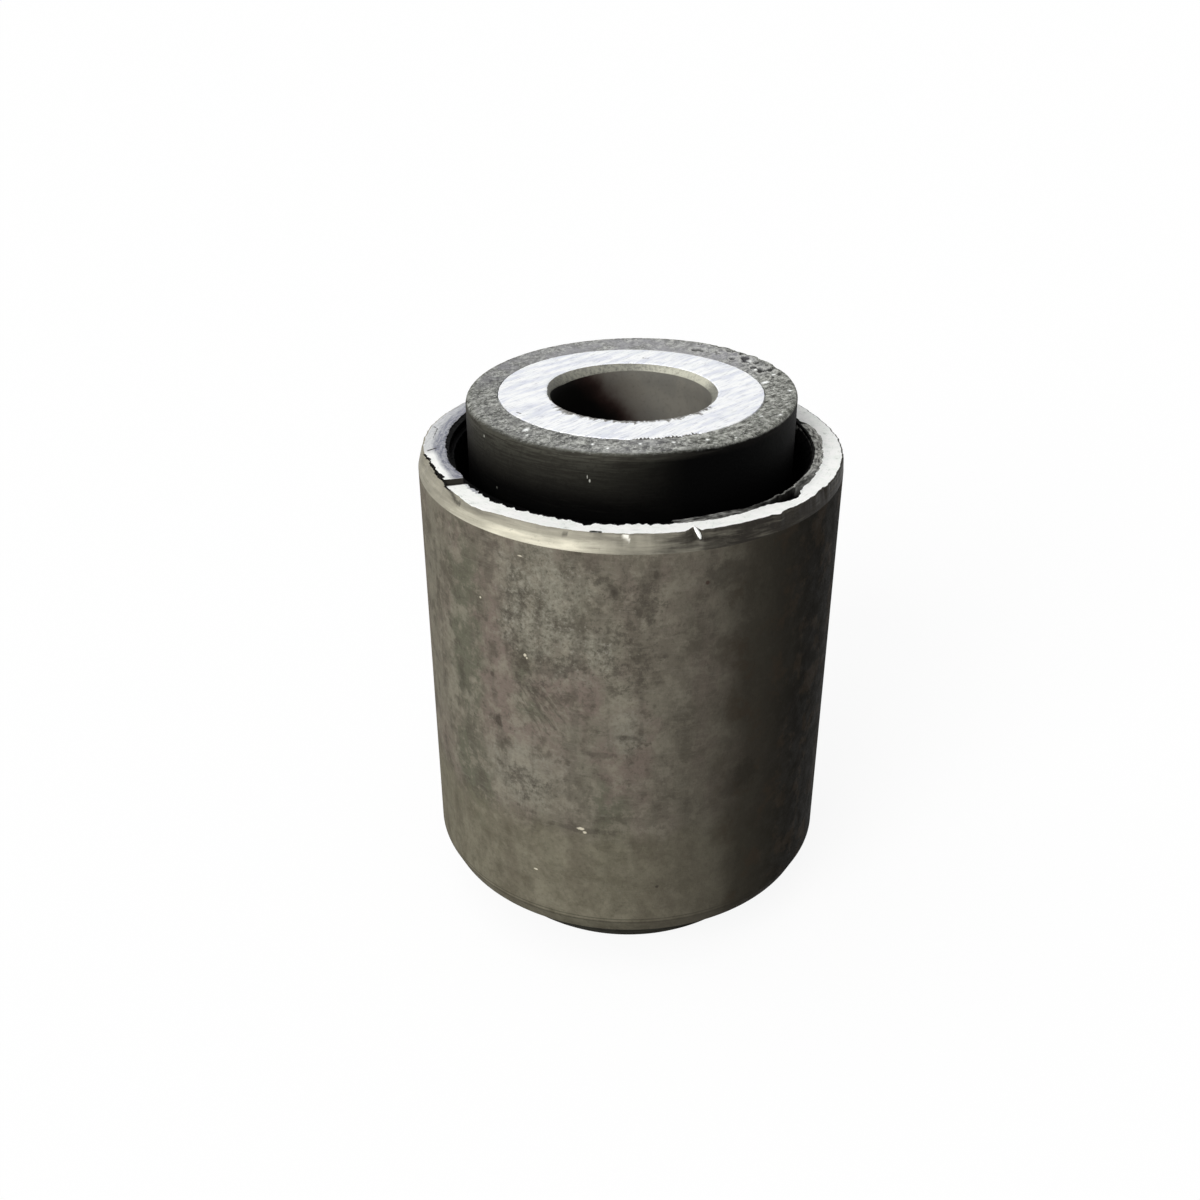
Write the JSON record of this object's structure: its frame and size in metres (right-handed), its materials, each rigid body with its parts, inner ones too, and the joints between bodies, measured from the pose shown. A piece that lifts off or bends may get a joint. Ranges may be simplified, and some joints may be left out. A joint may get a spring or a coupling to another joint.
{
  "type": "rubber metal bush",
  "caption": "Cylindrical rubber-bonded bush: a thick steel inner sleeve with a plain bore stands proud at both ends of a steel outer sleeve, with a rubber ring between.",
  "frame": {"origin": "on the axis, at the lower end face of the inner sleeve", "axes": "+Z along the bore axis towards the sawn upper end; -Y towards the front of the bush, with the lap in the rim at -X and the torn skin at +X -Y"},
  "size_m": [0.032, 0.032, 0.0435],
  "materials": {
    "outer_steel": "dull pickled tube with a bright turned rim",
    "rubber": "moulded black, sawn grey on the upper end",
    "inner_steel": "sawn and ground bright end, dull bore"
  },
  "bodies": {
    "root": {"outer_sleeve": "outer_steel", "rubber_body": "rubber", "inner_sleeve": "inner_steel"}
  },
  "joints": []
}
